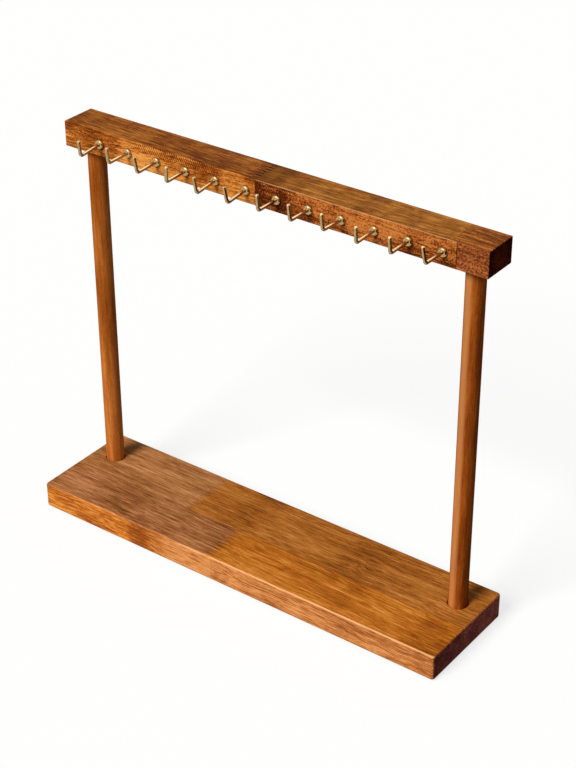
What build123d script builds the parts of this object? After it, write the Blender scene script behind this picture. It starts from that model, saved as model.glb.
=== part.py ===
from build123d import *

import os

# A table-top stand for hanging chains: a flat wooden base on four pads, two round
# posts, and a wooden beam with a row of brass hooks screwed into its front.
#
# Lengths are millimetres and angles degrees. X runs along the stand, the hooks
# point to -Y, and Z is up. The origin lies on the surface that the stand rests
# on, under the middle of the base.

# ---------------------------------------------------------------- base board
BASE_LENGTH = 350.8
BASE_DEPTH = 87.2
BASE_THICKNESS = 20.1
BASE_CORNER_RADIUS = 2.5  # the four corners, seen from above
BASE_EDGE_RADIUS = 1.5  # the eased top and bottom edges
BACK_STAVE_WIDTH = 49.1  # from the back edge to the glue line
BACK_JOINT_X = -66.0  # where the back staves meet end to end
FRONT_JOINT_X = -17.5  # where the front staves meet end to end

# ----------------------------------------------------------------------- pads
PAD_DIAMETER = 12.0
PAD_THICKNESS = 1.2
PAD_INSET = 15.0  # from the edges of the base to the middle of a pad
PAD_CHAMFER = 0.3

# ---------------------------------------------------------------------- posts
POST_DIAMETER = 13.7
POST_INSET = 18.8  # from the end of the base to the middle of a post
POST_SETBACK = 16.5  # the posts stand this far behind the middle of the base
POST_CLEAR_HEIGHT = 262.9  # seen between the base and the beam
POST_END_CHAMFER = 0.6
SOCKET_DEPTH = 6.0
SOCKET_CLEARANCE = 0.4  # on the radius
SOCKET_RIM_CHAMFER = 0.6

# ----------------------------------------------------------------------- beam
BEAM_OVERHANG = 16.4  # from the middle of a post to the end of the beam
BEAM_DEPTH = 28.0
BEAM_HEIGHT = 19.0
BEAM_EDGE_RADIUS = 0.8
BEAM_MIDDLE_JOINT_X = -8.2
BEAM_END_BLOCK = 26.2  # from the last joint to the right end of the beam

# -------------------------------------------------------------- finger joints
FINGER_LENGTH = 6.2
FINGER_PITCH = 3.7  # evened out so that whole fingers fill the width
FINGER_TIP_WIDTH = 0.8
FINGER_TIP_GAP = 0.12  # the space for glue past each fingertip

# ---------------------------------------------------------------------- hooks
HOOK_PITCH = 25.5
HOOK_ROW_MARGIN = 32.0  # the least room between an end hook and the end of the beam
HOOK_ROW_DROP = 9.5  # from the top of the beam to the line of the hooks
HOOK_WIRE = 2.5
HOOK_REACH = 20.2  # from the beam to the corner of the wire's centre line
HOOK_LEG = 11.5  # from that corner to the sawn tip
HOOK_LEG_LEAN = 5.0  # outwards from upright
HOOK_BEND_RADIUS = 2.0  # on the wire's centre line
HOOK_TIP_CHAMFER = 0.35
HOOK_SCREW_LENGTH = 10.0
HOOK_SCREW_DIAMETER = 2.1
HOOK_SCREW_POINT = 2.6
COLLAR_DIAMETER = 7.0
COLLAR_THICKNESS = 2.3
COLLAR_RIM = 0.7  # the short straight edge against the wood
COLLAR_CROWN = 0.4  # how far the dome stands proud of a plain cone
COLLAR_SEAT = 0.3  # the narrow flat between the dome and the wire
# Each hook is turned in by hand and stops a little off upright, + is to the right.
HOOK_TURNS = (-2, -1, -7, 5, -7, -9, -1, -3, -2, 1, -1, -8)
# The arms are not all quite level, + hangs lower.
HOOK_DROOPS = (5.5, 1, 2, 1.5, 5, 5, 0, -0.5, -2.5, 2, 1, -1)

# -------------------------------------------------------- screws in the posts
BASE_SCREW_LENGTH = 32.0
BASE_SCREW_DIAMETER = 4.0
BASE_SCREW_THREAD_DIAMETER = 3.2
BASE_SCREW_PLAIN_LENGTH = 12.0
BASE_SCREW_POINT = 3.5
SCREW_HEAD_DIAMETER = 8.0
SCREW_HEAD_RIM = 0.4
SCREW_HEAD_INSET = 0.5  # how far the head lies inside the underside
SCREW_RECESS_SPAN = 4.4
SCREW_RECESS_WIDTH = 1.1
SCREW_RECESS_DEPTH = 1.8
DOWEL_SCREW_DIAMETER = 4.4
DOWEL_SCREW_IN_POST = 20.0
DOWEL_SCREW_IN_BEAM = 14.0
DOWEL_SCREW_POINT = 3.0
SCREW_CLEARANCE = 0.1  # on the radius, round every screw
PILOT_SPARE = 0.6  # past the tip of every screw

CUT_MARGIN = 1.0  # how far a cutting tool runs past what it cuts

ON_THE_GROUND = (Align.CENTER, Align.CENTER, Align.MIN)

# ------------------------------------------------------------------ the stack
base_bottom = PAD_THICKNESS
base_top = base_bottom + BASE_THICKNESS
socket_floor = base_top - SOCKET_DEPTH
beam_bottom = base_top + POST_CLEAR_HEIGHT
beam_top = beam_bottom + BEAM_HEIGHT
beam_front = POST_SETBACK - BEAM_DEPTH / 2
hook_row_height = beam_top - HOOK_ROW_DROP
base_screw_seat = base_bottom + SCREW_HEAD_INSET
post_x = BASE_LENGTH / 2 - POST_INSET
post_places = {"left": -post_x, "right": post_x}
beam_half_length = post_x + BEAM_OVERHANG
hook_count = int((beam_half_length - HOOK_ROW_MARGIN) * 2 / HOOK_PITCH) + 1


def turned(*profile):
    """A solid turned about Z from the (radius, height) points of its half profile."""
    outline = Polyline(*[(radius, 0, height) for radius, height in profile], close=True)
    return revolve(make_face(outline), Axis.Z)


def block(low, high):
    """The upright block between two opposite corners."""
    size = [top - bottom for bottom, top in zip(low, high)]
    return Pos(*low) * Box(*size, align=(Align.MIN, Align.MIN, Align.MIN))


def finger_jointed(blank, joint_x):
    """Divide a blank into a left and a right length whose ends interlock at joint_x."""
    room = blank.bounding_box()
    count = max(2, round(room.size.Y / FINGER_PITCH))
    pitch = room.size.Y / count
    slope = pitch / 2 - FINGER_TIP_WIDTH
    root_x = joint_x - FINGER_LENGTH / 2
    tip_x = joint_x + FINGER_LENGTH / 2
    far_x = room.min.X - CUT_MARGIN
    front = room.min.Y - CUT_MARGIN
    back = room.max.Y + CUT_MARGIN
    bottom = room.min.Z - CUT_MARGIN
    top = room.max.Z + CUT_MARGIN

    zigzag = [(far_x, front), (tip_x, front)]
    for finger in range(count):
        fall = room.min.Y + finger * pitch + FINGER_TIP_WIDTH / 2
        valley = fall + slope
        zigzag.append((tip_x, fall))
        zigzag.append((root_x, valley))
        zigzag.append((root_x, valley + FINGER_TIP_WIDTH))
        zigzag.append((tip_x, valley + FINGER_TIP_WIDTH + slope))
    zigzag += [(tip_x, back), (far_x, back)]
    left_side = Pos(0, 0, bottom) * extrude(make_face(Polyline(*zigzag, close=True)), top - bottom)

    past_tips = block((tip_x - FINGER_TIP_GAP, front, bottom), (tip_x + CUT_MARGIN, back, top))
    past_roots = block((root_x - CUT_MARGIN, front, bottom), (root_x + FINGER_TIP_GAP, back, top))
    left = (blank & left_side) - past_tips
    right = (blank - left_side) - past_roots
    return left, right


def base_bore():
    """The stepped hole under a post: its socket, the screw's hole and the countersink."""
    socket = POST_DIAMETER / 2 + SOCKET_CLEARANCE
    shank = BASE_SCREW_DIAMETER / 2 + SCREW_CLEARANCE
    head = SCREW_HEAD_DIAMETER / 2 + SCREW_CLEARANCE
    seat = base_screw_seat + SCREW_HEAD_RIM
    return turned(
        (0, base_bottom - CUT_MARGIN),
        (head, base_bottom - CUT_MARGIN),
        (head, seat),
        (shank, seat + head - shank),
        (shank, socket_floor),
        (socket, socket_floor),
        (socket, base_top - SOCKET_RIM_CHAMFER),
        (socket + SOCKET_RIM_CHAMFER + CUT_MARGIN, base_top + CUT_MARGIN),
        (0, base_top + CUT_MARGIN),
    )


def base_staves():
    """The base: a rounded board, bored for the posts, made of four glued staves."""
    plan = RectangleRounded(BASE_LENGTH, BASE_DEPTH, BASE_CORNER_RADIUS)
    board = Pos(0, 0, base_bottom) * extrude(plan, BASE_THICKNESS)
    flats = board.faces().filter_by(Axis.Z)
    board = fillet(flats.edges(), BASE_EDGE_RADIUS)
    for x in post_places.values():
        board -= Pos(x, POST_SETBACK) * base_bore()

    glue_y = BASE_DEPTH / 2 - BACK_STAVE_WIDTH
    half = BASE_LENGTH / 2 + CUT_MARGIN
    back_half = block((-half, glue_y, 0), (half, BASE_DEPTH, base_top + CUT_MARGIN))
    back_left, back_right = finger_jointed(board & back_half, BACK_JOINT_X)
    front_left, front_right = finger_jointed(board - back_half, FRONT_JOINT_X)
    return {
        "base_stave_back_left": back_left,
        "base_stave_back_right": back_right,
        "base_stave_front_left": front_left,
        "base_stave_front_right": front_right,
    }


def pads():
    """Four thin round pads under the corners of the base."""
    radius = PAD_DIAMETER / 2
    pad = turned(
        (0, 0),
        (radius - PAD_CHAMFER, 0),
        (radius, PAD_CHAMFER),
        (radius, PAD_THICKNESS),
        (0, PAD_THICKNESS),
    )
    x = BASE_LENGTH / 2 - PAD_INSET
    y = BASE_DEPTH / 2 - PAD_INSET
    return {
        "pad_front_left": Pos(-x, -y) * pad,
        "pad_front_right": Pos(x, -y) * pad,
        "pad_back_left": Pos(-x, y) * pad,
        "pad_back_right": Pos(x, y) * pad,
    }


def post():
    """A round post with a pilot hole up from its foot and down from its head."""
    radius = POST_DIAMETER / 2
    foot_pilot = BASE_SCREW_THREAD_DIAMETER / 2 + SCREW_CLEARANCE
    foot_pilot_end = base_screw_seat + BASE_SCREW_LENGTH + PILOT_SPARE
    head_pilot = DOWEL_SCREW_DIAMETER / 2 + SCREW_CLEARANCE
    head_pilot_end = beam_bottom - DOWEL_SCREW_IN_POST - PILOT_SPARE
    return turned(
        (0, foot_pilot_end),
        (foot_pilot, foot_pilot_end),
        (foot_pilot, socket_floor),
        (radius - POST_END_CHAMFER, socket_floor),
        (radius, socket_floor + POST_END_CHAMFER),
        (radius, beam_bottom - POST_END_CHAMFER),
        (radius - POST_END_CHAMFER, beam_bottom),
        (head_pilot, beam_bottom),
        (head_pilot, head_pilot_end),
        (0, head_pilot_end),
    )


def base_screw():
    """The countersunk screw that comes up through the base into a post."""
    head = SCREW_HEAD_DIAMETER / 2
    shank = BASE_SCREW_DIAMETER / 2
    thread = BASE_SCREW_THREAD_DIAMETER / 2
    rim = base_screw_seat + SCREW_HEAD_RIM
    plain_end = socket_floor - PILOT_SPARE
    plain_end = min(plain_end, base_screw_seat + BASE_SCREW_PLAIN_LENGTH)
    tip = base_screw_seat + BASE_SCREW_LENGTH
    screw = turned(
        (0, base_screw_seat),
        (head, base_screw_seat),
        (head, rim),
        (shank, rim + head - shank),
        (shank, plain_end),
        (thread, plain_end + shank - thread),
        (thread, tip - BASE_SCREW_POINT),
        (0, tip),
    )
    bar = Rectangle(SCREW_RECESS_SPAN, SCREW_RECESS_WIDTH)
    cross = bar + Rot(0, 0, 90) * bar
    return screw - Pos(0, 0, base_screw_seat) * extrude(cross, SCREW_RECESS_DEPTH)


def dowel_screw():
    """The double-ended screw that joins a post's head to the beam."""
    radius = DOWEL_SCREW_DIAMETER / 2
    low = beam_bottom - DOWEL_SCREW_IN_POST
    high = beam_bottom + DOWEL_SCREW_IN_BEAM
    return turned(
        (0, low),
        (radius, low + DOWEL_SCREW_POINT),
        (radius, high - DOWEL_SCREW_POINT),
        (0, high),
    )


def hook_places():
    """Where each hook's shank leaves the beam, from left to right."""
    first_x = -HOOK_PITCH * (hook_count - 1) / 2
    for index in range(hook_count):
        yield Pos(first_x + index * HOOK_PITCH, beam_front, hook_row_height)


def hook_pilot():
    """The pilot hole that a hook's screw turns into, running back from the beam's face."""
    radius = HOOK_SCREW_DIAMETER / 2 + SCREW_CLEARANCE
    depth = HOOK_SCREW_LENGTH + PILOT_SPARE
    hole = Cylinder(radius, depth + CUT_MARGIN, align=ON_THE_GROUND)
    return Pos(0, -CUT_MARGIN) * Rot(-90, 0, 0) * hole


def beam_lengths():
    """The beam: a square-edged bar, drilled, made of three finger-jointed lengths."""
    bar = Box(beam_half_length * 2, BEAM_DEPTH, BEAM_HEIGHT, align=ON_THE_GROUND)
    bar = Pos(0, POST_SETBACK, beam_bottom) * fillet(bar.edges(), BEAM_EDGE_RADIUS)
    radius = DOWEL_SCREW_DIAMETER / 2 + SCREW_CLEARANCE
    depth = DOWEL_SCREW_IN_BEAM + PILOT_SPARE
    pilot = Cylinder(radius, depth + CUT_MARGIN, align=ON_THE_GROUND)
    for x in post_places.values():
        bar -= Pos(x, POST_SETBACK, beam_bottom - CUT_MARGIN) * pilot
    for place in hook_places():
        bar -= place * hook_pilot()

    left, rest = finger_jointed(bar, BEAM_MIDDLE_JOINT_X)
    middle, right_end = finger_jointed(rest, beam_half_length - BEAM_END_BLOCK)
    return {"beam_left": left, "beam_middle": middle, "beam_right_end": right_end}


def hook(droop):
    """A square-bent screw hook with a domed collar, its collar's back at the origin.

    The arm leaves along -Y, lowered by the droop, and the leg rises. The screw and
    the collar are turned about Y, and the wire is a circle swept along its bent
    centre line, which starts inside the collar.
    """
    wire = HOOK_WIRE / 2
    core = HOOK_SCREW_DIAMETER / 2
    rim = COLLAR_DIAMETER / 2
    seat = wire + COLLAR_SEAT
    dome_middle = ((rim + seat) / 2 + COLLAR_CROWN, -(COLLAR_RIM + COLLAR_THICKNESS) / 2 - COLLAR_CROWN)
    turned_part = Polyline(
        (0, -COLLAR_THICKNESS),
        (0, HOOK_SCREW_LENGTH),
        (core, HOOK_SCREW_LENGTH - HOOK_SCREW_POINT),
        (core, 0),
        (rim, 0),
        (rim, -COLLAR_RIM),
    )
    dome = ThreePointArc((rim, -COLLAR_RIM), dome_middle, (seat, -COLLAR_THICKNESS))
    flat_front = Line((seat, -COLLAR_THICKNESS), (0, -COLLAR_THICKNESS))
    screw_and_collar = revolve(make_face(turned_part + dome + flat_front), Axis.Y)

    neck = Vector(0, -COLLAR_THICKNESS / 2, 0)
    arm = Vector(0, COLLAR_THICKNESS / 2 - HOOK_REACH, 0).rotate(Axis.X, droop)
    corner = neck + arm
    leg = Vector(0, 0, HOOK_LEG).rotate(Axis.X, HOOK_LEG_LEAN)
    path = FilletPolyline(neck, corner, corner + leg, radius=HOOK_BEND_RADIUS)
    section = Plane(origin=path @ 0, z_dir=path % 0) * Circle(wire)
    bent_wire = sweep(section, path)
    tip_edge = bent_wire.faces().sort_by(Axis.Z)[-1].edges()
    bent_wire = chamfer(tip_edge, HOOK_TIP_CHAMFER)
    return screw_and_collar + bent_wire


def hooks():
    """The row of hooks along the beam's front."""
    row = {}
    for index, place in enumerate(hook_places()):
        turn = HOOK_TURNS[index % len(HOOK_TURNS)]
        droop = HOOK_DROOPS[index % len(HOOK_DROOPS)]
        row[f"hook_{index + 1:02d}"] = place * Rot(0, turn, 0) * hook(droop)
    return row


def stand():
    """Every piece of the stand, by name."""
    pieces = {}
    pieces.update(base_staves())
    pieces.update(pads())
    pieces.update(beam_lengths())
    for side, x in post_places.items():
        pieces[f"post_{side}"] = Pos(x, POST_SETBACK) * post()
        pieces[f"base_screw_{side}"] = Pos(x, POST_SETBACK) * base_screw()
        pieces[f"dowel_screw_{side}"] = Pos(x, POST_SETBACK) * dowel_screw()
    pieces.update(hooks())
    return pieces


os.makedirs("parts", exist_ok=True)
for name, piece in stand().items():
    export_step(piece, f"parts/{name}.step")
    print(f"{name}: {piece.volume:.1f} mm3")
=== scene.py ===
# %% [markdown]
# # Dressing a hanging stand: oiled wood, brass hooks, and a white studio
#
# The stand is a wooden base, two round posts, and a wooden beam with twelve
# square-bent brass hooks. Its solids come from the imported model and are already
# the right shape, so nothing is modelled again here. What they lack is a
# surface: grain that runs along each length of wood, dark lines where the
# lengths are finger-jointed and glued, drawn brass, zinc, and foam rubber.
# This script makes those finishes from nodes, then lights and frames the stand.

import math
from types import SimpleNamespace

import bpy
from mathutils import Matrix, Vector


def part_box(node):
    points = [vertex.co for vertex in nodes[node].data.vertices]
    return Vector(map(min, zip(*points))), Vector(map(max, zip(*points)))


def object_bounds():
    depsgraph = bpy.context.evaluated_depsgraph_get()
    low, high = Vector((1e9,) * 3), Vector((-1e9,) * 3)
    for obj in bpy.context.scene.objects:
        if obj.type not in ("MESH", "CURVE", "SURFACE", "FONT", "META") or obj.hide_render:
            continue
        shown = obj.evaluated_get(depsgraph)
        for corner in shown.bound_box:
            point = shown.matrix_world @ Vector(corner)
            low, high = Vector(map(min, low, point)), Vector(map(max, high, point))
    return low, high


MM = 1000.0  # millimetres in a metre, Blender's unit

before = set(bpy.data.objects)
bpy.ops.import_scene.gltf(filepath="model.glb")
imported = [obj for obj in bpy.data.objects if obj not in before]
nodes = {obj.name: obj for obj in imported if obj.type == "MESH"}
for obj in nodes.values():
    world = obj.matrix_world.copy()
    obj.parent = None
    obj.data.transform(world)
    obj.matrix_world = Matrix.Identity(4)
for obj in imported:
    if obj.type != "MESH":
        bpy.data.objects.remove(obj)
cad_low, cad_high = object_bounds()
print("pieces:", len(nodes), "size in mm:", [round(MM * side) for side in cad_high - cad_low])

# %% [markdown]
# ## The camera
#
# A camera can be placed by eye, or worked out from straight edges in a
# photograph. The second is used: the edges of the base and the beam give the
# direction and the distance, so a render lies over the photograph and the two
# can be compared place by place. The camera stands to the right, well above the
# beam, and looks down at 31 degrees.

# %% Place the camera
CAMERA_PLACE = (0.6591, -0.8588, 0.8008)
CAMERA_AZIMUTH = 36.524  # degrees to the right of the front
CAMERA_ELEVATION = 31.001  # degrees above the horizon
CAMERA_ROLL = -0.206  # degrees
CAMERA_LENS = 85.33  # millimetres
SENSOR_WIDTH = 36.0

camera = bpy.data.objects.new("camera", bpy.data.cameras.new("camera"))
camera.data.lens = CAMERA_LENS
camera.data.sensor_width = SENSOR_WIDTH
turn = Matrix.Rotation(math.radians(CAMERA_AZIMUTH), 4, "Z")
tilt = Matrix.Rotation(math.radians(90.0 - CAMERA_ELEVATION), 4, "X")
roll = Matrix.Rotation(math.radians(CAMERA_ROLL), 4, "Z")
camera.matrix_world = Matrix.Translation(CAMERA_PLACE) @ turn @ tilt @ roll
bpy.context.scene.collection.objects.link(camera)
bpy.context.scene.camera = camera
distance = (Vector(CAMERA_PLACE) - (cad_low + cad_high) / 2).length
print("camera to the middle of the stand:", round(distance, 3))

# %% [markdown]
# ## Small tools for making nodes
#
# A material can be drawn by hand in the node editor or written as code. In code
# a finish is a short sentence, as long as three chores are out of the way:
# adding a node with its settings, feeding a socket with either a number or
# another node, and doing arithmetic.


# %% Add nodes, and calculate with them
def feed(tree, socket, value):
    """Give a socket a link if the value is another socket, and a constant otherwise."""
    if isinstance(value, bpy.types.NodeSocket):
        tree.links.new(value, socket)
    else:
        socket.default_value = value


def add(tree, kind, inputs=None, **settings):
    """Add one shader node, such as TexNoise, with its settings and inputs."""
    made = tree.nodes.new("ShaderNode" + kind)
    for name, value in settings.items():
        setattr(made, name, value)
    for name, value in (inputs or {}).items():
        feed(tree, made.inputs[name], value)
    return made


def calc(tree, operation, *values):
    """One step of arithmetic, such as MULTIPLY, on sockets and numbers."""
    made = add(tree, "Math", dict(enumerate(values)), operation=operation)
    return made.outputs[0]


def total(tree, *values):
    """The sum of several sockets and numbers."""
    result = values[0]
    for value in values[1:]:
        result = calc(tree, "ADD", result, value)
    return result


def weighted(tree, *pairs):
    """The sum of several values, each times its weight."""
    return total(tree, *[calc(tree, "MULTIPLY", value, weight) for value, weight in pairs])


# %% [markdown]
# ## Tools for shaping values
#
# Everything on the wood begins as a smooth noise or as a distance, and these
# tools carve it into shape. A range can be carried over to another one in a
# straight line, or eased like an S, which leaves no hard edge in the figure.
# The noise is scaled on its own along each axis, because wood is long one way.

# %% Shape values and colours
MIX_AMOUNT, MIX_FIRST, MIX_SECOND, MIX_RESULT = 0, 6, 7, 2  # where a Mix node keeps its colours
NOISE_RANGE = (0.3, 0.7)  # nearly every value of a noise lies in here


def ease(tree, value, start, end):
    """0 up to start, 1 from end on, and a smooth rise between them."""
    inputs = {"Value": value, "From Min": start, "From Max": end}
    return add(tree, "MapRange", inputs, interpolation_type="SMOOTHSTEP").outputs["Result"]


def stretch(tree, value, low, high, to_low=0.0, to_high=1.0):
    """Carry the range low to high over to another one, and stop at its ends."""
    inputs = {"Value": value, "From Min": low, "From Max": high, "To Min": to_low, "To Max": to_high}
    return add(tree, "MapRange", inputs).outputs["Result"]


def between(tree, value, start, end, soft):
    """1 between start and end, 0 outside, with edges that are soft wide."""
    rise = ease(tree, value, start - soft / 2, start + soft / 2)
    fall = ease(tree, value, end + soft / 2, end - soft / 2)
    return calc(tree, "MULTIPLY", rise, fall)


def blend(tree, amount, first, second, way="MIX"):
    """A colour that goes from the first to the second, or is multiplied by it."""
    inputs = {MIX_AMOUNT: amount, MIX_FIRST: first, MIX_SECOND: second}
    return add(tree, "Mix", inputs, data_type="RGBA", blend_type=way).outputs[MIX_RESULT]


def noise(tree, place, scale, detail=2.0, roughness=0.5):
    """Cloudy noise, its three scales in grains per millimetre along X, Y and Z."""
    scaled = add(tree, "VectorMath", {0: place, 1: scale}, operation="MULTIPLY")
    inputs = {"Vector": scaled.outputs[0], "Scale": 1.0, "Detail": detail, "Roughness": roughness}
    return add(tree, "TexNoise", inputs).outputs["Fac"]


def swing(tree, place, scale, detail=2.0, roughness=0.5):
    """Noise from -0.5 to 0.5, which darkens as much as it lightens."""
    return stretch(tree, noise(tree, place, scale, detail, roughness), *NOISE_RANGE, -0.5, 0.5)


def start_material(name):
    """An empty material: its tree, its shader, the place in millimetres and the normal."""
    material = bpy.data.materials.new(name)
    material.use_nodes = True
    tree = material.node_tree
    tree.nodes.clear()
    output = add(tree, "OutputMaterial")
    shader = add(tree, "BsdfPrincipled")
    tree.links.new(shader.outputs[0], output.inputs["Surface"])
    where = add(tree, "TexCoord")
    place = add(tree, "VectorMath", {0: where.outputs["Object"], 1: (MM, MM, MM)}, operation="MULTIPLY")
    return material, tree, shader, place.outputs[0], where.outputs["Normal"]


# %% [markdown]
# ## A log for every length of wood
#
# The wood is a warm, oiled, acacia-like hardwood. A picture of a plank could be
# wrapped round each piece, but it would stretch on the ends and repeat. Instead
# each length is cut from a log of its own: the log's heart is a line that runs
# beside the piece, and the growth rings are the distance from that line. The
# same formula then gives long lines on the faces, arches where a face is nearly
# level with the rings, and curved rings on the sawn ends, and they all meet at
# the edges. The heart is tilted a little and wanders, as a tree does.
#
# So each piece names its log in millimetres: where the heart lies across and up,
# its drift for each millimetre along, how far it wanders to either side, and a
# seed, which is how far along the log the piece was cut.

# %% Rings round the heart of a log
WANDER_SCALE = (0.010, 0.018, 0.018)  # grains per millimetre along, across and up
RING_WIDTH = 3.1  # millimetres from one dark ring to the next
RING_SHIFT = 3.0  # rings by which good and poor years push the others outwards
YEARS_SCALE = 0.16  # good and poor years per millimetre
YEARS_RANGE = (0.32, 0.68)
LATE_POWER = 3.0  # a higher power makes the dark end of a ring thinner
LATE_YEARS = (0.35, 0.60)  # from poor years, with a faint dark line, to good ones
FAINTEST_LINE = 0.15


def log_place(tree, spot, drift, wander, seed):
    """Where a spot lies in its log: shifted by a seed, leaning, and wandering."""
    sway = stretch(tree, noise(tree, spot.place, WANDER_SCALE), *NOISE_RANGE, -wander, wander)
    across = total(tree, spot.across, calc(tree, "MULTIPLY", spot.along, drift[0]), sway)
    up = total(tree, spot.up, calc(tree, "MULTIPLY", spot.along, drift[1]), sway)
    moved = add(tree, "CombineXYZ", {0: calc(tree, "ADD", spot.along, seed), 1: across, 2: up})
    return moved.outputs[0], across, up


def growth_rings(tree, across, up, heart):
    """Good and poor years, and the thin dark line of late wood that ends each ring."""
    side = calc(tree, "SUBTRACT", across, heart[0])
    height = calc(tree, "SUBTRACT", up, heart[1])
    radius = calc(tree, "SQRT", weighted(tree, (side, side), (height, height)))
    inputs = {"W": radius, "Scale": YEARS_SCALE, "Detail": 3.0, "Roughness": 0.6}
    years = add(tree, "TexNoise", inputs, noise_dimensions="1D").outputs["Fac"]
    count = total(tree, calc(tree, "DIVIDE", radius, RING_WIDTH), calc(tree, "MULTIPLY", years, RING_SHIFT))
    late = calc(tree, "POWER", calc(tree, "FRACT", count), LATE_POWER)
    late = calc(tree, "MULTIPLY", late, stretch(tree, years, *LATE_YEARS, FAINTEST_LINE, 1.0))
    return stretch(tree, years, *YEARS_RANGE), late


print("a ring every", RING_WIDTH, "mm, more or less")

# %% [markdown]
# ## Streaks, speckle and pores
#
# Rings alone look like a drawing. Between them the real wood has long fibres,
# finer ones in those, broad soft bands, and short dark pores where a vessel was
# cut open. All are the same noise, stretched along the log by up to twenty-four
# times. Two are not: the mottle is as wide as it is long, like the speckle of a
# board sawn across, and the curl is a short ripple where the fibres wave.

# %% The layers of the wood
# Each has its grains per millimetre along, across and up, its detail, and its roughness.
CLOUDS = ((0.011, 0.045, 0.045), 2.0, 0.5)
BANDS = ((0.013, 0.14, 0.14), 2.0, 0.5)
FIBRES = ((0.027, 0.65, 0.65), 3.0, 0.5)
FINE_FIBRES = ((0.09, 1.7, 1.7), 3.0, 0.6)
PORES = ((0.14, 1.5, 1.5), 2.0, 0.55)
MOTTLE = ((0.75, 0.75, 0.75), 4.0, 0.65)
PORE_OPENS = (0.56, 0.70)  # the noise's value where a pore begins, and where it is full


def wood_layers(tree, spot, piece):
    """Every layer of one piece, still to be weighed against the others."""
    in_log, log_across, log_up = log_place(tree, spot, piece["drift"], piece["wander"], piece["seed"])
    rings, late = growth_rings(tree, log_across, log_up, piece["heart"])
    return SimpleNamespace(
        rings=rings,
        late=late,
        clouds=swing(tree, in_log, *CLOUDS),
        bands=swing(tree, in_log, *BANDS),
        fibres=swing(tree, in_log, *FIBRES),
        fine=swing(tree, in_log, *FINE_FIBRES),
        mottle=swing(tree, spot.place, *MOTTLE),
        curl=swing(tree, in_log, piece["curl_scale"]) if "curl_scale" in piece else None,
        pores=ease(tree, noise(tree, in_log, *PORES), *PORE_OPENS),
    )


print("a pore every", round(1 / PORES[0][0]), "mm along the log, a fibre every", round(1 / FIBRES[0][0]))

# %% [markdown]
# ## Faces, ends and edges
#
# A board shows another side of its log on each face, and takes the oil in
# another way. Painting masks by hand would do, but the solid's own normal
# already tells an end, a side, a flat face and a rounded upper edge apart. The
# normal is read as it is on the piece, so nothing slides when the camera moves.

# %% Tell the faces apart by their normal
SIDE_FACE = (0.45, 0.85)  # the normal's share sideways where a side begins, and where it is full
END_FACE = (0.55, 0.95)
EDGE_FACE = (0.34, 0.92)  # an upper edge looks sideways between these two
EDGE_SOFT = 0.2
EDGE_UP = (0.2, 0.5)  # and upwards by at least this


def face_shares(tree, normal):
    """How much a spot belongs to an end, a side, a flat face or an upper edge."""
    end_way, side_way, top_way = add(tree, "SeparateXYZ", {0: normal}).outputs
    sideways = calc(tree, "ABSOLUTE", side_way)
    side = ease(tree, sideways, *SIDE_FACE)
    return SimpleNamespace(
        side=side,
        flat=calc(tree, "SUBTRACT", 1.0, side),
        end=ease(tree, calc(tree, "ABSOLUTE", end_way), *END_FACE),
        edge=calc(tree, "MULTIPLY", between(tree, sideways, *EDGE_FACE, EDGE_SOFT),
                  ease(tree, top_way, *EDGE_UP)),
    )


turns = [round(math.degrees(math.asin(share))) for share in SIDE_FACE]
print("a rounded edge goes over from top to side between", turns[0], "and", turns[1], "degrees")

# %% [markdown]
# ## Planer ticks
#
# Where the grain turns against the cutter, a planer leaves rows of fine
# slanting ticks, and the oil darkens them. The beam's front has two such
# places, near its upper edge. They could be scratches in the relief alone, but
# at this size the eye sees the dark oil and not the depth, so they are tone.

# %% Slanting ticks
TICK_SLANT = 0.55  # millimetres along for each one up
TICK_WIDTH = 1.0  # millimetres, as wide as the gap to the next
TICK_EDGE = (0.3, 0.7)
TICK_LEVEL = 0.4  # taken off, so that the gaps are lighter as well
TICK_FADE = 14.0  # millimetres over which a row begins and ends
TICK_FOOT = (-1.5, 2.5)  # and below and above its lower edge


def planer_ticks(tree, spot, row):
    """A row of ticks: its start and end along the piece, its lower edge and its strength."""
    start, end, bottom, strength = row
    slanted = calc(tree, "MULTIPLY_ADD", spot.up, TICK_SLANT, spot.along)
    wave = ease(tree, calc(tree, "PINGPONG", slanted, TICK_WIDTH), *TICK_EDGE)
    wave = calc(tree, "SUBTRACT", wave, TICK_LEVEL)
    above = ease(tree, spot.up, bottom + TICK_FOOT[0], bottom + TICK_FOOT[1])
    here = calc(tree, "MULTIPLY", between(tree, spot.along, start, end, TICK_FADE), above)
    return calc(tree, "MULTIPLY", calc(tree, "MULTIPLY", wave, here), -strength)


print("a tick every", 2 * TICK_WIDTH, "mm")

# %% [markdown]
# ## From the layers to one tone
#
# The layers are added up to a single tone, from 0 for dark to 1 for light, and
# only then turned into colour. Colouring each layer by itself would be more
# direct, but the shades would soon run out of the range of real wood. Every
# piece starts from one plain figure and names what is different about it: how
# strong its contrast is on the flat faces and on the sides, how speckled it is,
# whether it gets lighter towards the bottom. Marks are the stretches that the
# eye knows a board by: each has a start and an end in millimetres along the
# piece, a soft edge, and a change of tone.

# %% Weigh the layers
PLAIN_FIGURE = {
    "clouds": 0.20, "bands": 0.26, "fibres": 0.42, "fine": 0.66, "rings": 0.06, "late": 0.08, "pores": 0.5,
    "mottle": 0.14, "side_mottle": 0.14, "flat_contrast": 1.0, "side_contrast": 1.0,
    "curl": 0.0, "lighter_below": 0.0,
}
MIDDLE_TONE = 0.5
EDGE_STRIP = 2  # millimetres at the top and bottom of a side where the tone is level


def add_marks(tree, tone, here, along, marks):
    """Lighter and darker stretches: each is start, end, softness and change of tone."""
    for start, end, soft, change in marks:
        marked = calc(tree, "MULTIPLY", between(tree, along, start, end, soft), here)
        tone = calc(tree, "MULTIPLY_ADD", marked, change, tone)
    return tone


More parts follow.
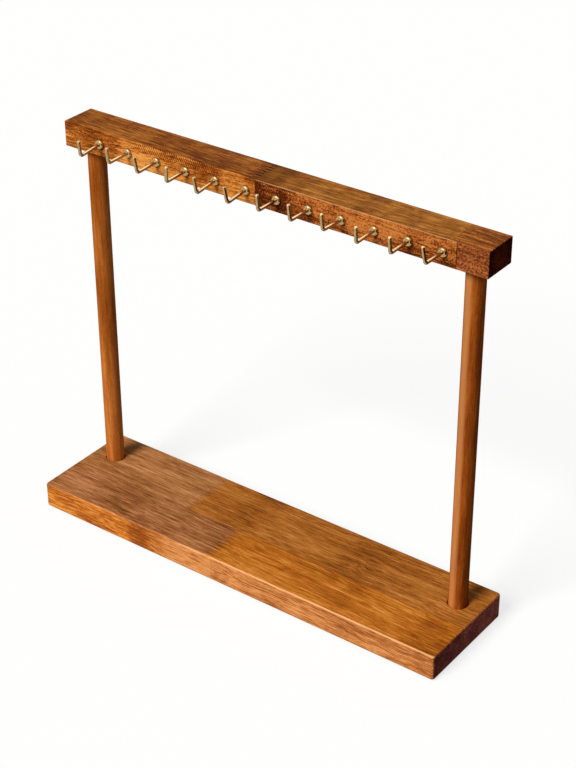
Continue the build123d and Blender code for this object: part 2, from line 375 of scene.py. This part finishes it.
def slope(tree, spot, change, heights):
    """Lighter by the change at the bottom of a side, and darker by it at the top."""
    low, high = heights
    lower = ease(tree, spot.up, high - EDGE_STRIP, low + EDGE_STRIP)
    return stretch(tree, lower, 0.0, 1.0, -change, change)


def wood_tone(tree, spot, face, layers, piece):
    """Weigh the layers of one piece and add them up to its tone."""
    figure = piece["figure"]
    speckle = stretch(tree, face.side, 0.0, 1.0, figure["mottle"], figure["side_mottle"])
    contrast = stretch(tree, face.side, 0.0, 1.0, figure["flat_contrast"], figure["side_contrast"])
    grain = weighted(tree, (layers.bands, figure["bands"]), (layers.fibres, figure["fibres"]),
                     (layers.fine, figure["fine"]), (layers.mottle, speckle), (layers.late, -figure["late"]))
    tone = weighted(tree, (grain, contrast), (layers.clouds, figure["clouds"]),
                    (layers.rings, figure["rings"]))
    tone = calc(tree, "ADD", tone, MIDDLE_TONE - figure["rings"] / 2)
    if layers.curl is not None:
        tone = calc(tree, "MULTIPLY_ADD", layers.curl, figure["curl"], tone)
    if figure["lighter_below"]:
        sloping = slope(tree, spot, figure["lighter_below"], piece["heights"])
        tone = calc(tree, "MULTIPLY_ADD", sloping, face.side, tone)
    tone = add_marks(tree, tone, face.flat, spot.along, piece.get("flat_marks", ()))
    tone = add_marks(tree, tone, face.side, spot.along, piece.get("side_marks", ()))
    if "ticks" in piece:
        tone = calc(tree, "MULTIPLY_ADD", planer_ticks(tree, spot, piece["ticks"]), face.side, tone)
    return tone


print("the plain figure:", PLAIN_FIGURE)

# %% [markdown]
# ## From the tone to a colour
#
# The tone is looked up in four colours from dark to light. Each piece has up to
# three such palettes: the top and bottom, the sides, which are a warmer gold
# here, and the sawn ends, where the open pores drink the oil and turn deep
# brown; the end colours are darkened further as painted shade, and the base's
# ends have a cool tint of painted fill light. A front can also turn into its
# neighbour's colours on the way, because the base's front edge runs on in one
# colour across its joint. Pores multiply the colour, since oil and dust darken
# them in proportion.

# %% Stain the faces
TONE_STOPS = (0.0, 0.36, 0.64, 1.0)
PORE_SHADE = (0.46, 0.34, 0.30, 1.0)


def palette(tree, tone, colours):
    """Look a tone up in four colours from dark to light."""
    ramp = add(tree, "ValToRGB", {"Fac": tone})
    stops = ramp.color_ramp.elements
    while len(stops) < len(colours):
        stops.new(0.5)
    for stop, place, colour in zip(stops, TONE_STOPS, colours):
        stop.position = place
        stop.color = (*colour, 1.0)
    return ramp.outputs["Color"]


def stain(tree, tone, spot, face, layers, piece):
    """The colour of each face, with the pores darker."""
    colour = palette(tree, tone, piece["flat"])
    if "side" in piece:
        front = palette(tree, tone, piece["side"])
        if "side_turns" in piece:
            start, end, colours = piece["side_turns"]
            front = blend(tree, ease(tree, spot.along, start, end), front, palette(tree, tone, colours))
        colour = blend(tree, face.side, colour, front)
    if "end" in piece:
        colour = blend(tree, face.end, colour, palette(tree, tone, piece["end"]))
    depth = calc(tree, "MULTIPLY", layers.pores, piece["figure"]["pores"])
    return blend(tree, depth, colour, PORE_SHADE, "MULTIPLY")


print("colours in a palette:", len(TONE_STOPS))

# %% [markdown]
# ## Glue, and painted highlights
#
# Three things lie over the stain. Glue shows as a dark line: between two staves
# it is straight, and in a finger joint it is a row of fingertips seen from
# above and one upright line in front. Upper edges get a painted highlight, a
# strip of bright wood where the rounded edge catches the light. And one post gets
# a painted highlight down the side that faces the light, found by the way its surface faces.
# Cutting real grooves for the glue is possible, but the joint is flush.

# %% Glue lines, and painted highlights on upper edges and a post
GLUE_SHADE = (0.16, 0.09, 0.06, 1.0)
# painted highlight on rounded upper edges, drawn as bright bare wood
EDGE_HIGHLIGHT_COLOUR = (0.86, 0.50, 0.24, 1.0)
# painted highlight on the side of a post that faces the light
POST_HIGHLIGHT_COLOUR = (0.80, 0.36, 0.12, 1.0)
# Millimetres from a line's middle where it ends, and where it is full.
FINGER_LINE = (1.0, 0.3)
UPRIGHT_LINE = (0.5, 0.15)
STAVE_LINE = (0.45, 0.1)
STAVE_LINE_STRENGTH = 0.30
ROOTS_FREE = 1.6  # millimetres at a finger's root where no line shows
ROW_SOFT = 1.4
HIGHLIGHT_REACH = (0.80, 1.0)  # how closely the surface looks the streak's way


def from_line(tree, value, middle, line):
    """1 on a line and 0 away from it."""
    away = calc(tree, "ABSOLUTE", calc(tree, "SUBTRACT", value, middle))
    return ease(tree, away, *line)


def joint_line(tree, spot, face, joint):
    """A joint's dark glue: a row of fingertips on top, one upright line in front."""
    from_front = calc(tree, "SUBTRACT", spot.across, joint["front"])
    finger = ease(tree, calc(tree, "PINGPONG", from_front, joint["pitch"] / 2), *FINGER_LINE)
    row = between(tree, spot.along, joint["root_x"] + ROOTS_FREE, joint["tip_x"], ROW_SOFT)
    on_top = calc(tree, "MULTIPLY", calc(tree, "MULTIPLY", finger, row), joint["on_top"])
    upright = from_line(tree, spot.along, joint["tip_x"], UPRIGHT_LINE)
    in_front = calc(tree, "MULTIPLY", upright, joint["in_front"])
    return weighted(tree, (in_front, face.side), (on_top, face.flat))


def over_the_stain(tree, colour, normal, spot, face, piece):
    """Lay the painted highlights, on a post and on upper edges, and the glue over the stained wood."""
    if "painted_highlight" in piece:
        # painted highlight: lighter where the surface faces the given direction, towards the light
        direction, strength = piece["painted_highlight"]
        facing = add(tree, "VectorMath", {0: normal, 1: direction}, operation="DOT_PRODUCT")
        pale = ease(tree, facing.outputs["Value"], *HIGHLIGHT_REACH)
        colour = blend(tree, calc(tree, "MULTIPLY", pale, strength), colour, POST_HIGHLIGHT_COLOUR)
    # painted highlight along the rounded upper edges
    if "edge_highlight" in piece:
        colour = blend(tree, calc(tree, "MULTIPLY", face.edge, piece["edge_highlight"]), colour, EDGE_HIGHLIGHT_COLOUR)
    for joint in piece.get("joints", ()):
        colour = blend(tree, joint_line(tree, spot, face, joint), colour, GLUE_SHADE, "MULTIPLY")
    if "glue_line" in piece:
        line = from_line(tree, spot.across, piece["glue_line"], STAVE_LINE)
        line = calc(tree, "MULTIPLY", line, STAVE_LINE_STRENGTH)
        colour = blend(tree, line, colour, GLUE_SHADE, "MULTIPLY")
    return colour


print("an upright glue line is", 2 * UPRIGHT_LINE[0], "mm wide with its soft edges")

# %% [markdown]
# ## One recipe for every length of wood
#
# The beam's three lengths, the base's four and the two posts differ in colour
# and figure but share a finish: sanded, stained and oiled to a satin. So one
# function makes them all, and each piece gives it a short list of its own
# facts. The oil hardly shines, and lies a little rougher in pores and on end
# grain. The relief is about an eighth of a millimetre, and only in the shading:
# fibres stand proud, while pores and late wood lie low.

# %% The recipe
SATIN = 0.46  # the roughness of well-filled, flat wood
OIL_SHINE = 0.01
BUMP_DEPTH = 0.00012  # metres
BUMP_STRENGTH = 0.5
RELIEF = {"fibres": 0.35, "fine": 0.3, "pores": -0.8, "late": -0.3}


def satin_oil(tree, shader, face, layers):
    """Roughness and relief of oiled wood."""
    uneven = weighted(tree, (layers.fibres, 0.16), (layers.pores, 0.2), (face.end, 0.2))
    feed(tree, shader.inputs["Roughness"], calc(tree, "ADD", uneven, SATIN))
    shader.inputs["Specular IOR Level"].default_value = OIL_SHINE
    relief = weighted(tree, *[(getattr(layers, layer), height) for layer, height in RELIEF.items()])
    bump = add(tree, "Bump", {"Height": relief, "Strength": BUMP_STRENGTH, "Distance": BUMP_DEPTH})
    feed(tree, shader.inputs["Normal"], bump.outputs["Normal"])


def lay_down(tree, vector):
    """Turn an upright piece's place or normal, so that its grain runs along X."""
    inputs = {"Vector": vector, "Angle": math.pi / 2}
    return add(tree, "VectorRotate", inputs, rotation_type="Y_AXIS").outputs[0]


def oiled_wood(name, piece):
    """The satin finish of one length of wood, from the piece's own facts."""
    piece = piece | {"figure": PLAIN_FIGURE | piece["figure"]}
    material, tree, shader, place, normal = start_material(name)
    grain_normal = normal
    if piece.get("upright"):
        place, grain_normal = lay_down(tree, place), lay_down(tree, normal)
    along, across, up = add(tree, "SeparateXYZ", {0: place}).outputs
    spot = SimpleNamespace(place=place, along=along, across=across, up=up)
    face = face_shares(tree, grain_normal)
    layers = wood_layers(tree, spot, piece)
    tone = wood_tone(tree, spot, face, layers, piece)
    colour = stain(tree, tone, spot, face, layers, piece)
    colour = over_the_stain(tree, colour, normal, spot, face, piece)
    feed(tree, shader.inputs["Base Color"], colour)
    satin_oil(tree, shader, face, layers)
    return material


def dress(name, material):
    """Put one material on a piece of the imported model."""
    mesh = nodes[name].data
    mesh.materials.clear()
    mesh.materials.append(material)


print("relief in mm:", BUMP_DEPTH * MM)

# %% [markdown]
# ## Where the lengths meet
#
# Short offcuts are joined end to end with tapered fingers. On the real stand
# each joint shows as a dark comb on top and as one upright line in front. The
# comb is already cut in the solids, so its place is read from their boxes: the
# left length ends where its fingertips do, and the right length begins at the
# roots. Only the fingers' pitch and the glue space past their tips are given
# again here.

# %% Read the joints from the pieces
FINGER_PITCH = 3.7
GLUE_SPACE = 0.12


def finger_joint(left, right, on_top, in_front):
    """The facts of the joint between two neighbouring lengths, in millimetres."""
    left_low, left_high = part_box(left)
    right_low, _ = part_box(right)
    depth = (left_high.y - left_low.y) * MM
    return {
        "tip_x": left_high.x * MM + GLUE_SPACE,
        "root_x": right_low.x * MM - GLUE_SPACE,
        "front": left_low.y * MM,
        "pitch": depth / round(depth / FINGER_PITCH),
        "on_top": on_top,
        "in_front": in_front,
    }


beam_middle_joint = finger_joint("beam_left", "beam_middle", 1.0, 0.6)
beam_end_joint = finger_joint("beam_middle", "beam_right_end", 0.45, 0.8)
base_front_joint = finger_joint("base_stave_front_left", "base_stave_front_right", 0.12, 0.0)
base_back_joint = finger_joint("base_stave_back_left", "base_stave_back_right", 0.1, 0.3)
glue_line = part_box("base_stave_back_left")[0].y * MM
print("beam joint from", round(beam_middle_joint["root_x"], 2), "to", round(beam_middle_joint["tip_x"], 2))

# %% [markdown]
# ## The beam
#
# Three lengths from three boards. The left one is the brownest on top and
# golden in front, with a curly figure; the middle one starts with a stain of
# dark red heartwood right at the joint; the short right end is sawn across a
# knotty, speckled board. The colours are linear values, as the shader takes
# them, from dark to light. They could come from one table for the species, but
# boards of one tree differ as much as this, and the stand is known by it.

# %% Dress the beam
beam_low, beam_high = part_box("beam_left")
beam_heart_y = (beam_low.y + beam_high.y) / 2 * MM
beam_bottom, beam_top = beam_low.z * MM, beam_high.z * MM

# oiled end grain, darkened further as painted shade on the ends turned away from the light
BEAM_END_GRAIN_AND_SHADE = (
    (0.009, 0.001, 0.001), (0.042, 0.004, 0.001), (0.090, 0.010, 0.002), (0.180, 0.024, 0.004),
)
beam_woods = {
    "beam_left": {
        "flat": ((0.097, 0.021, 0.002), (0.208, 0.054, 0.004), (0.334, 0.101, 0.012), (0.484, 0.177, 0.034)),
        "side": ((0.124, 0.024, 0.004), (0.310, 0.077, 0.009), (0.532, 0.169, 0.025), (0.811, 0.338, 0.072)),
        "end": BEAM_END_GRAIN_AND_SHADE,
        "figure": {"curl": 0.22, "clouds": 0.16, "flat_contrast": 1.6, "side_contrast": 1.15,
                   "side_mottle": 0.5, "lighter_below": 0.12},
        "heights": (beam_bottom, beam_top),
        "ticks": (-108, -40, beam_top - 6, 0.6),
        "curl_scale": (0.11, 0.03, 0.05),
        "heart": (beam_heart_y - 6, beam_bottom - 70),
        "drift": (0.05, -0.03),
        "wander": 1.6,
        "seed": 310.0,
        "flat_marks": ((-168, -140, 12, 0.1), (-130, -100, 20, 0.12), (-96, -36, 24, -0.04),
                       (-30, -16, 8, 0.1), (-14, -8, 4, -0.15)),
        "side_marks": ((-180, -128, 12, -0.14), (-124, -86, 10, 0.36), (-86, -60, 10, 0.14),
                       (-56, -44, 6, -0.16), (-34, -12, 8, 0.28)),
        "joints": (beam_middle_joint,),
    },
    "beam_middle": {
        "flat": ((0.125, 0.036, 0.003), (0.265, 0.084, 0.009), (0.440, 0.162, 0.024), (0.620, 0.270, 0.060)),
        "side": ((0.064, 0.011, 0.003), (0.206, 0.047, 0.007), (0.400, 0.110, 0.019), (0.615, 0.208, 0.047)),
        "end": BEAM_END_GRAIN_AND_SHADE,
        "figure": {"curl": 0.2, "clouds": 0.16, "flat_contrast": 1.1, "side_contrast": 1.25,
                   "side_mottle": 0.85, "lighter_below": -0.12},
        "heights": (beam_bottom, beam_top),
        "edge_highlight": 0.3,
        "ticks": (-14, 22, beam_top - 9, 0.35),
        "curl_scale": (0.16, 0.05, 0.09),
        "heart": (beam_heart_y + 30, beam_bottom - 55),
        "drift": (-0.045, 0.02),
        "wander": 2.0,
        "seed": 905.0,
        "flat_marks": ((-20, 14, 14, -0.42), (14, 30, 12, -0.05), (30, 48, 12, 0.1), (72, 84, 10, -0.18)),
        "side_marks": ((-30, 22, 14, -0.48), (2, 14, 8, 0.3), (40, 54, 8, 0.2), (62, 108, 12, 0.28),
                       (114, 128, 8, -0.16)),
        "joints": (beam_middle_joint, beam_end_joint),
    },
    "beam_right_end": {
        "flat": ((0.082, 0.019, 0.002), (0.212, 0.057, 0.007), (0.473, 0.138, 0.018), (0.732, 0.260, 0.046)),
        "side": ((0.072, 0.017, 0.006), (0.196, 0.050, 0.013), (0.483, 0.133, 0.034), (0.815, 0.272, 0.085)),
        "end": BEAM_END_GRAIN_AND_SHADE,
        "figure": {"mottle": 0.2, "side_mottle": 1.2, "fine": 0.4, "fibres": 0.4, "bands": 0.3, "clouds": 0.3,
                   "flat_contrast": 1.5, "side_contrast": 0.65},
        "heart": (beam_heart_y, beam_bottom - 40),
        "drift": (0.03, 0.05),
        "wander": 1.5,
        "seed": 77.0,
        "joints": (beam_end_joint,),
    },
}
for name, piece in beam_woods.items():
    dress(name, oiled_wood("oiled_" + name, piece))
print("beam lengths dressed:", len(beam_woods))

# %% [markdown]
# ## The base
#
# Four staves, glued side by side and finger-jointed end to end. The left
# lengths are a dull, greyer brown on top; the right ones are a clear orange
# with short dark pores. The front edge is the brightest wood on the stand,
# golden at the left, with one dark wave and then long lines. On top the colour
# changes at the joint, but in front it changes earlier, so the left stave's
# front turns into the right stave's colours by itself, and the two share a
# heart and a seed, so that the lines run on. The left ends aren't in the
# photograph. There the front stave keeps the colours of its top.

# %% Dress the base
base_low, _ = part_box("base_stave_front_left")
base_bottom = base_low.z * MM

# oiled end grain, darkened as painted shade, with a cool tint of painted fill light
BASE_END_GRAIN_AND_SHADE = (
    (0.026, 0.006, 0.005), (0.160, 0.036, 0.027), (0.390, 0.098, 0.072), (0.700, 0.210, 0.150),
)
BASE_FRONT_RIGHT = (
    (0.252, 0.073, 0.021), (0.477, 0.155, 0.039), (0.653, 0.241, 0.066), (0.822, 0.370, 0.128),
)
base_woods = {
    "base_stave_front_left": {
        "flat": ((0.111, 0.036, 0.010), (0.255, 0.083, 0.022), (0.392, 0.145, 0.047), (0.579, 0.263, 0.109)),
        "side": ((0.270, 0.063, 0.010), (0.507, 0.135, 0.017), (0.737, 0.253, 0.038), (0.931, 0.418, 0.098)),
        "side_turns": (-84.0, -46.0, BASE_FRONT_RIGHT),
        "figure": {"clouds": 0.3, "flat_contrast": 1.1, "side_contrast": 1.35},
        "heart": (-60.0, base_bottom - 90),
        "drift": (0.02, 0.01),
        "wander": 2.0,
        "seed": 1500.0,
        "flat_marks": ((-175, -142, 16, 0.15), (-124, -98, 10, -0.14), (-55, -25, 14, 0.08)),
        "side_marks": ((-130, -112, 14, -0.05), (-90, -74, 14, -0.44), (-60, 14, 14, 0.3)),
        "edge_highlight": 0.12,
        "joints": (base_front_joint,),
    },
    "base_stave_front_right": {
        "flat": ((0.177, 0.041, 0.003), (0.404, 0.111, 0.008), (0.611, 0.209, 0.025), (0.856, 0.382, 0.100)),
        "side": BASE_FRONT_RIGHT,
        "end": BASE_END_GRAIN_AND_SHADE,
        "figure": {"clouds": 0.2, "flat_contrast": 0.85, "side_contrast": 1.45},
        "heart": (-60.0, base_bottom - 90),
        "drift": (0.02, 0.01),
        "wander": 2.0,
        "seed": 1500.0,
        "flat_marks": ((-30, 66, 20, -0.03), (84, 98, 12, -0.10), (148, 180, 12, -0.16)),
        "side_marks": ((-60, 14, 14, 0.16), (50, 62, 10, 0.08), (80, 106, 12, -0.12), (118, 160, 14, 0.1)),
        "edge_highlight": 0.6,
        "joints": (base_front_joint,),
    },
    "base_stave_back_left": {
        "flat": ((0.139, 0.048, 0.013), (0.316, 0.115, 0.032), (0.475, 0.196, 0.064), (0.680, 0.331, 0.144)),
        "side": ((0.143, 0.040, 0.008), (0.306, 0.090, 0.016), (0.449, 0.150, 0.027), (0.632, 0.250, 0.055)),
        "end": ((0.030, 0.008, 0.003), (0.120, 0.033, 0.011), (0.240, 0.075, 0.024), (0.390, 0.135, 0.048)),
        "figure": {"clouds": 0.25, "flat_contrast": 0.95},
        "heart": (80.0, base_bottom - 70),
        "drift": (0.015, 0.0),
        "wander": 1.6,
        "seed": 2900.0,
        "joints": (base_back_joint,),
    },
    "base_stave_back_right": {
        "flat": ((0.129, 0.033, 0.005), (0.301, 0.089, 0.010), (0.462, 0.159, 0.025), (0.650, 0.281, 0.075)),
        "side": ((0.154, 0.041, 0.006), (0.340, 0.098, 0.013), (0.494, 0.165, 0.025), (0.680, 0.268, 0.049)),
        "end": BASE_END_GRAIN_AND_SHADE,
        "figure": {"clouds": 0.2, "flat_contrast": 0.95},
        "heart": (30.0, base_bottom - 110),
        "drift": (-0.01, 0.01),
        "wander": 2.0,
        "seed": 3600.0,
        "flat_marks": ((-36, -10, 14, -0.12), (60, 90, 16, -0.12), (120, 180, 20, 0.06)),
        "joints": (base_back_joint,),
    },
}
for name, piece in base_woods.items():
    dress(name, oiled_wood("oiled_" + name, piece | {"glue_line": glue_line}))
print("base staves dressed:", len(base_woods))

# %% [markdown]
# ## The posts
#
# Turned dowels with the grain upright. The same recipe serves once the place is
# turned a quarter, so that the log lies along X again. They are redder than the
# base and a little plainer. The left one is lighter towards its foot. The right
# one has darker colours, as painted shade, and a painted highlight down its front left.

# %% Dress the posts
POST_COLOURS = ((0.13, 0.026, 0.003), (0.28, 0.066, 0.007), (0.42, 0.115, 0.016), (0.62, 0.205, 0.040))
# a darker copy of the post colours, as painted shade on the right post
POST_RIGHT_SHADED_COLOURS = (
    (0.11, 0.019, 0.002), (0.25, 0.052, 0.005), (0.38, 0.092, 0.011), (0.56, 0.165, 0.028),
)
POST_LEFT_MARKS = ((0, 230, 80, 0.16), (0, 110, 60, 0.16))  # along a post is its height
plain_post = {
    "upright": True, "flat": POST_COLOURS, "end": BEAM_END_GRAIN_AND_SHADE, "wander": 1.4,
    "figure": {"clouds": 0.2, "bands": 0.35, "late": 0.05, "fibres": 0.3, "fine": 0.25, "pores": 0.3},
}
post_woods = {
    "post_left": {
        "heart": (45.0, 130.0), "seed": 40.0, "drift": (0.012, -0.01),
        "flat_marks": POST_LEFT_MARKS, "side_marks": POST_LEFT_MARKS,
    },
    "post_right": {
        "heart": (-20.0, -190.0), "seed": 640.0, "drift": (-0.015, 0.008),
        # painted highlight down the front left, the side that faces the light
        "flat": POST_RIGHT_SHADED_COLOURS, "painted_highlight": ((-0.30, -0.95, 0.0), 0.42),
        # painted shade: darker along the whole height of the post
        "flat_marks": ((0, 320, 10, -0.14),), "side_marks": ((0, 100, 60, 0.05),),
    },
}
for name, piece in post_woods.items():
    dress(name, oiled_wood("oiled_" + name, plain_post | piece))
print("posts dressed:", len(post_woods))

# %% [markdown]
# ## Brass and zinc
#
# The hooks are drawn brass wire under a thin clear lacquer, pale and a little
# uneven where the bending dies rubbed. A metal has no colour of its own apart
# from what it mirrors, which its base colour only tints. So nearly all of its
# look is roughness, fine rubs round the wire, and a room worth mirroring. The
# screws are zinc, bluish and duller, and made by the same function.


# %% Make the metals
SPOT_SCALE = (0.55, 0.55, 0.55)  # grains per millimetre
RUB_SCALE = (5.0, 1.2, 2.2)
METAL_RANGE = (0.35, 0.65)
RUB_DEPTH = 0.00002  # metres
RUB_STRENGTH = 0.12


def metal(name, dark, bright, roughness):
    """A plated metal whose colour and polish vary in soft spots and fine rubs."""
    material, tree, shader, place, _ = start_material(name)
    spots = stretch(tree, noise(tree, place, SPOT_SCALE, 3.0, 0.6), *METAL_RANGE)
    rubs = stretch(tree, noise(tree, place, RUB_SCALE, 3.0, 0.6), *METAL_RANGE)
    tone = weighted(tree, (spots, 0.4), (rubs, 0.6))
    feed(tree, shader.inputs["Base Color"], blend(tree, tone, dark, bright))
    shader.inputs["Metallic"].default_value = 1.0
    uneven = weighted(tree, (rubs, 0.05), (spots, 0.04))
    feed(tree, shader.inputs["Roughness"], calc(tree, "ADD", uneven, roughness))
    bump = add(tree, "Bump", {"Height": rubs, "Strength": RUB_STRENGTH, "Distance": RUB_DEPTH})
    feed(tree, shader.inputs["Normal"], bump.outputs["Normal"])
    return material


brass = metal("drawn_brass", (0.37, 0.240, 0.10, 1), (0.58, 0.40, 0.19, 1), 0.20)
zinc = metal("zinc_plate", (0.38, 0.39, 0.41, 1), (0.62, 0.63, 0.66, 1), 0.34)
print("metals:", brass.name, zinc.name)

# %% [markdown]
# ## Foam rubber
#
# The round pads under the base are closed-cell foam, black and matt. Cells are
# what a Voronoi texture draws: the distance to the nearest centre makes a
# pitted surface, with a dull black pit in the middle of each cell.

# %% Make the foam, and dress the small pieces
FOAM_CELLS = 1.6  # per millimetre
FOAM_DARK, FOAM_LIGHT = (0.008, 0.008, 0.008, 1), (0.03, 0.03, 0.03, 1)
FOAM_ROUGHNESS = (0.95, 0.75)  # in a pit, and on the walls between
PIT_EDGE = (0.1, 0.5)
PIT_DEPTH = 0.0002  # metres
PIT_STRENGTH = 0.6


def foam_rubber(name):
    """Black closed-cell foam, matt, with fine pits."""
    material, tree, shader, place, _ = start_material(name)
    cells = add(tree, "TexVoronoi", {"Vector": place, "Scale": FOAM_CELLS})
    pits = ease(tree, cells.outputs["Distance"], *PIT_EDGE)
    feed(tree, shader.inputs["Base Color"], blend(tree, pits, FOAM_DARK, FOAM_LIGHT))
    feed(tree, shader.inputs["Roughness"], stretch(tree, pits, 0.0, 1.0, *FOAM_ROUGHNESS))
    bump = add(tree, "Bump", {"Height": pits, "Strength": PIT_STRENGTH, "Distance": PIT_DEPTH})
    feed(tree, shader.inputs["Normal"], bump.outputs["Normal"])
    return material


finishes = {"hook_": brass, "base_screw_": zinc, "dowel_screw_": zinc, "pad_": foam_rubber("foam_rubber")}
for start, material in finishes.items():
    named = [name for name in nodes if name.startswith(start)]
    for name in named:
        dress(name, material)
    print(material.name, "on", len(named), "pieces")

# %% [markdown]
# ## A white room
#
# The photograph has a bare white ground. A brighter lamp could burn the ground
# white, but it would burn the wood too. Instead the lamps stay at a plain
# level, at which a colour shows about as it is written, and the ground and the
# sky are white only to the camera and in reflections. Some of the ground's
# white is still light that falls on it, so the stand keeps its shadow. Seen
# from below the ground is clear, so that the underside can be looked at.

# %% Make the sky and the ground
SKY_LIGHT = 0.20
GROUND_GLOW = 0.745
GROUND_COLOUR = (0.26, 0.26, 0.26, 1)
GROUND_REACH = 12.0  # metres


def seen_directly(tree):
    """1 for the camera and for what metal and glass show, 0 for scattered light."""
    path = add(tree, "LightPath")
    mirrored = calc(tree, "MAXIMUM", path.outputs["Is Glossy Ray"], path.outputs["Is Transmission Ray"])
    return calc(tree, "MAXIMUM", path.outputs["Is Camera Ray"], mirrored)


def sheet(name, corners, material):
    """A flat sheet with four corners."""
    mesh = bpy.data.meshes.new(name)
    mesh.from_pydata(corners, [], [(0, 1, 2, 3)])
    mesh.materials.append(material)
    made = bpy.data.objects.new(name, mesh)
    bpy.context.scene.collection.objects.link(made)
    return made


world = bpy.data.worlds.new("white_room")
bpy.context.scene.world = world
world.use_nodes = True
sky = world.node_tree
sky.nodes.clear()
light = add(sky, "Background", {"Color": (0.96, 0.98, 1.0, 1), "Strength": SKY_LIGHT})
white = add(sky, "Background", {"Color": (1.0, 1.0, 1.0, 1), "Strength": 1.0})
mixed = add(sky, "MixShader", {0: seen_directly(sky), 1: light.outputs[0], 2: white.outputs[0]})
sky_output = add(sky, "OutputWorld")
sky.links.new(mixed.outputs[0], sky_output.inputs["Surface"])

paper, tree, shader, _, _ = start_material("white_paper")
shader.inputs["Base Color"].default_value = GROUND_COLOUR
shader.inputs["Roughness"].default_value = 1.0
shader.inputs["Specular IOR Level"].default_value = 0.0
glow = add(tree, "Emission", {"Strength": calc(tree, "MULTIPLY", seen_directly(tree), GROUND_GLOW)})
both = add(tree, "AddShader", {0: shader.outputs[0], 1: glow.outputs[0]})
from_below = add(tree, "NewGeometry").outputs["Backfacing"]
clear = add(tree, "BsdfTransparent")
paper_surface = add(tree, "MixShader", {0: from_below, 1: both.outputs[0], 2: clear.outputs[0]})
tree.links.new(paper_surface.outputs[0], tree.nodes["Material Output"].inputs["Surface"])

ground = sheet("ground", [(-GROUND_REACH, -GROUND_REACH, 0), (GROUND_REACH, -GROUND_REACH, 0),
                          (GROUND_REACH, GROUND_REACH, 0), (-GROUND_REACH, GROUND_REACH, 0)], paper)
print("ground:", 2 * GROUND_REACH, "metres wide")

# %% [markdown]
# ## Cards for the brass to mirror
#
# In an all-white room, polished wire looks flat and grey. A jeweller's table
# has cards round it instead: dark ones draw the lines along a wire that make it
# look round, and bright ones make the sparks. The same cards stand here, and
# only reflections see them, so the wood and the shadow stay as they are. The
# dark card stands to the right, a dim one lies on the ground behind the stand
# for the arms to mirror, and two bright ones hang high, in front and behind.

# %% Set up the cards
FELT_COLOUR = (0.03, 0.025, 0.02, 1)
CARD_GLOW_COLOUR = (1.0, 0.98, 0.95, 1)


def reflector(name, corners, brightness):
    """A card that only reflections show, dark felt or glowing white."""
    felt, _, felt_shader, _, _ = start_material(name)
    felt_shader.inputs["Base Color"].default_value = FELT_COLOUR
    felt_shader.inputs["Roughness"].default_value = 1.0
    felt_shader.inputs["Specular IOR Level"].default_value = 0.0
    felt_shader.inputs["Emission Color"].default_value = CARD_GLOW_COLOUR
    felt_shader.inputs["Emission Strength"].default_value = brightness
    card = sheet(name, corners, felt)
    for kind in ("camera", "diffuse", "transmission", "shadow", "volume_scatter"):
        setattr(card, "visible_" + kind, False)
    print(name, "glows", brightness)


# Each card has its corners, in metres, and its glow.
cards = {
    "dark_card": ([(0.42, -0.9, 0), (0.42, 0.7, 0), (0.42, 0.7, 0.5), (0.42, -0.9, 0.5)], 0.0),
    "floor_card": ([(-1.2, 0.05, 0.004), (1.2, 0.05, 0.004), (1.2, 1.3, 0.004), (-1.2, 1.3, 0.004)], 0.2),
    "window_card": ([(-0.6, -1.4, 1.0), (0.3, -1.4, 1.0), (0.3, -0.8, 1.6), (-0.6, -0.8, 1.6)], 6.0),
    "white_card": ([(-0.7, 0.9, 0.75), (0.4, 0.9, 0.75), (0.4, 0.5, 1.5), (-0.7, 0.5, 1.5)], 2.6),
}
for name, (corners, brightness) in cards.items():
    reflector(name, corners, brightness)

# %% [markdown]
# ## One soft window light
#
# The photograph's light is soft and falls from the front, a little from the
# left and rather high: tops and fronts are about equally bright, and the right
# ends are nearly black. An area lamp would be brighter near than far. A sun with
# a wide disc gives the same light everywhere, with soft shadows. In polished
# brass its disc would be a hard white dot, so it is hidden from reflections,
# where the window card takes its place.

# %% Light the stand
SUN_LIGHT = 3.6
SUN_FROM = (-0.12, -0.72, 0.68)
SUN_SOFTNESS = 26.0  # degrees across

sun = bpy.data.objects.new("window_light", bpy.data.lights.new("window_light", "SUN"))
sun.data.energy = SUN_LIGHT
sun.data.color = (1.0, 0.985, 0.96)
sun.data.angle = math.radians(SUN_SOFTNESS)
sun.rotation_mode = "QUATERNION"
sun.rotation_quaternion = Vector(SUN_FROM).to_track_quat("Z", "Y")
bpy.context.scene.collection.objects.link(sun)
sun.visible_glossy = False
bpy.context.scene.view_settings.view_transform = "Standard"
print("light on level ground:", round(SUN_LIGHT / math.pi * SUN_FROM[2] / Vector(SUN_FROM).length, 2))
